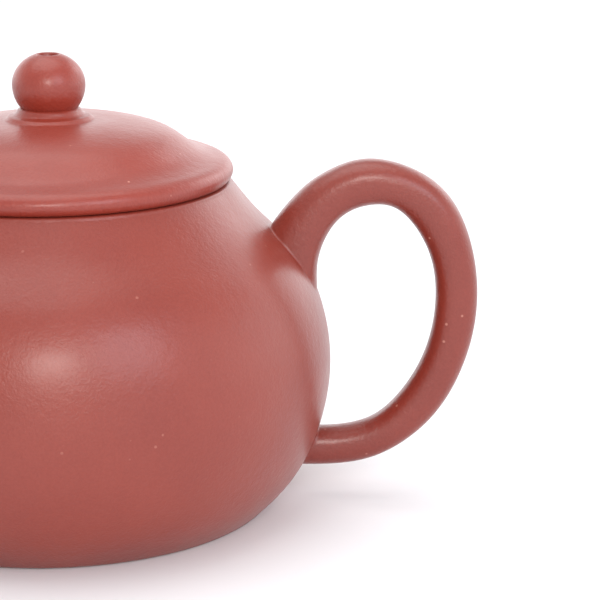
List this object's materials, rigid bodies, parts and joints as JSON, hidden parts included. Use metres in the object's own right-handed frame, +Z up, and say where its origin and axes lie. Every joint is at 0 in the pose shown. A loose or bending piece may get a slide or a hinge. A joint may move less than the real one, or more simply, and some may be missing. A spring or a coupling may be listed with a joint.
{
  "type": "clay teapot",
  "caption": "Small round unglazed red clay teapot with a lifting domed lid, ball knob, ring handle, curved spout and inner ball strainer, for brewing and pouring tea.",
  "frame": {"origin": "centre of the foot, in the plane that the pot stands on", "axes": "+Z up along the axis of the body and lid, +X towards the handle, -X towards the spout"},
  "size_m": [0.1299, 0.0846, 0.0696],
  "materials": {
    "body_clay": "unglazed, burnished red clay",
    "lid_clay": "unglazed, burnished red clay",
    "handle_clay": "unglazed, hand-rubbed red clay",
    "inner_clay": "unglazed, unburnished red clay"
  },
  "bodies": {
    "pot": {"side_wall": "body_clay", "base_slab": "inner_clay", "shoulder_slab": "body_clay", "mouth_ring": "body_clay", "ball_strainer": "inner_clay", "spout": "body_clay", "spout_joint_clay": "body_clay", "handle": "handle_clay", "handle_upper_joint_clay": "handle_clay", "handle_lower_joint_clay": "handle_clay"},
    "lid": {"lid_dome": "lid_clay", "lid_rim_ring": "lid_clay", "lid_flange": "inner_clay", "knob_collar": "lid_clay", "knob": "lid_clay"}
  },
  "joints": [
    {"name": "lid_lift", "type": "slide", "parent": "pot", "child": "lid", "axis": [0, 0, 1], "range_m": [0, 0.06]}
  ]
}
